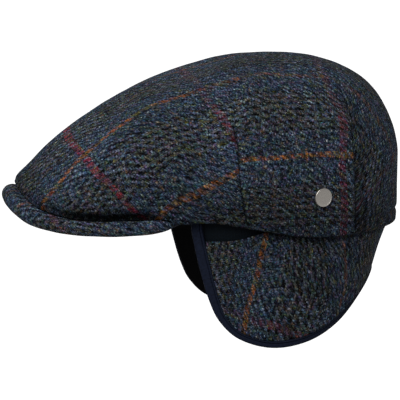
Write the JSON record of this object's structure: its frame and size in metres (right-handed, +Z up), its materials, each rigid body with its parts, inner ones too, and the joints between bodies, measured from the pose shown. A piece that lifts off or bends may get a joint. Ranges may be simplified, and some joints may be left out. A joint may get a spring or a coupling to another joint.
{
  "type": "earflap ivy cap",
  "caption": "Ivy cap of checked tweed with a short padded peak, a hollow crown, and bound ear flaps let down round the ears and nape.",
  "frame": {"origin": "middle of the head opening, at the height of the crown's hem beside the ears", "axes": "-Y towards the peak, +X towards the wearer's left, +Z up through the crown"},
  "size_m": [0.1926, 0.2811, 0.1951],
  "materials": {
    "tweed": "matte",
    "navy_trim": "matte",
    "black_lining": "matte",
    "metal": "brushed"
  },
  "bodies": {
    "root": {"crown": "tweed", "peak": "tweed", "head_band": "navy_trim", "ear_flap": "tweed", "flap_lining": "black_lining", "flap_binding": "navy_trim", "side_badge": "metal"}
  },
  "joints": []
}
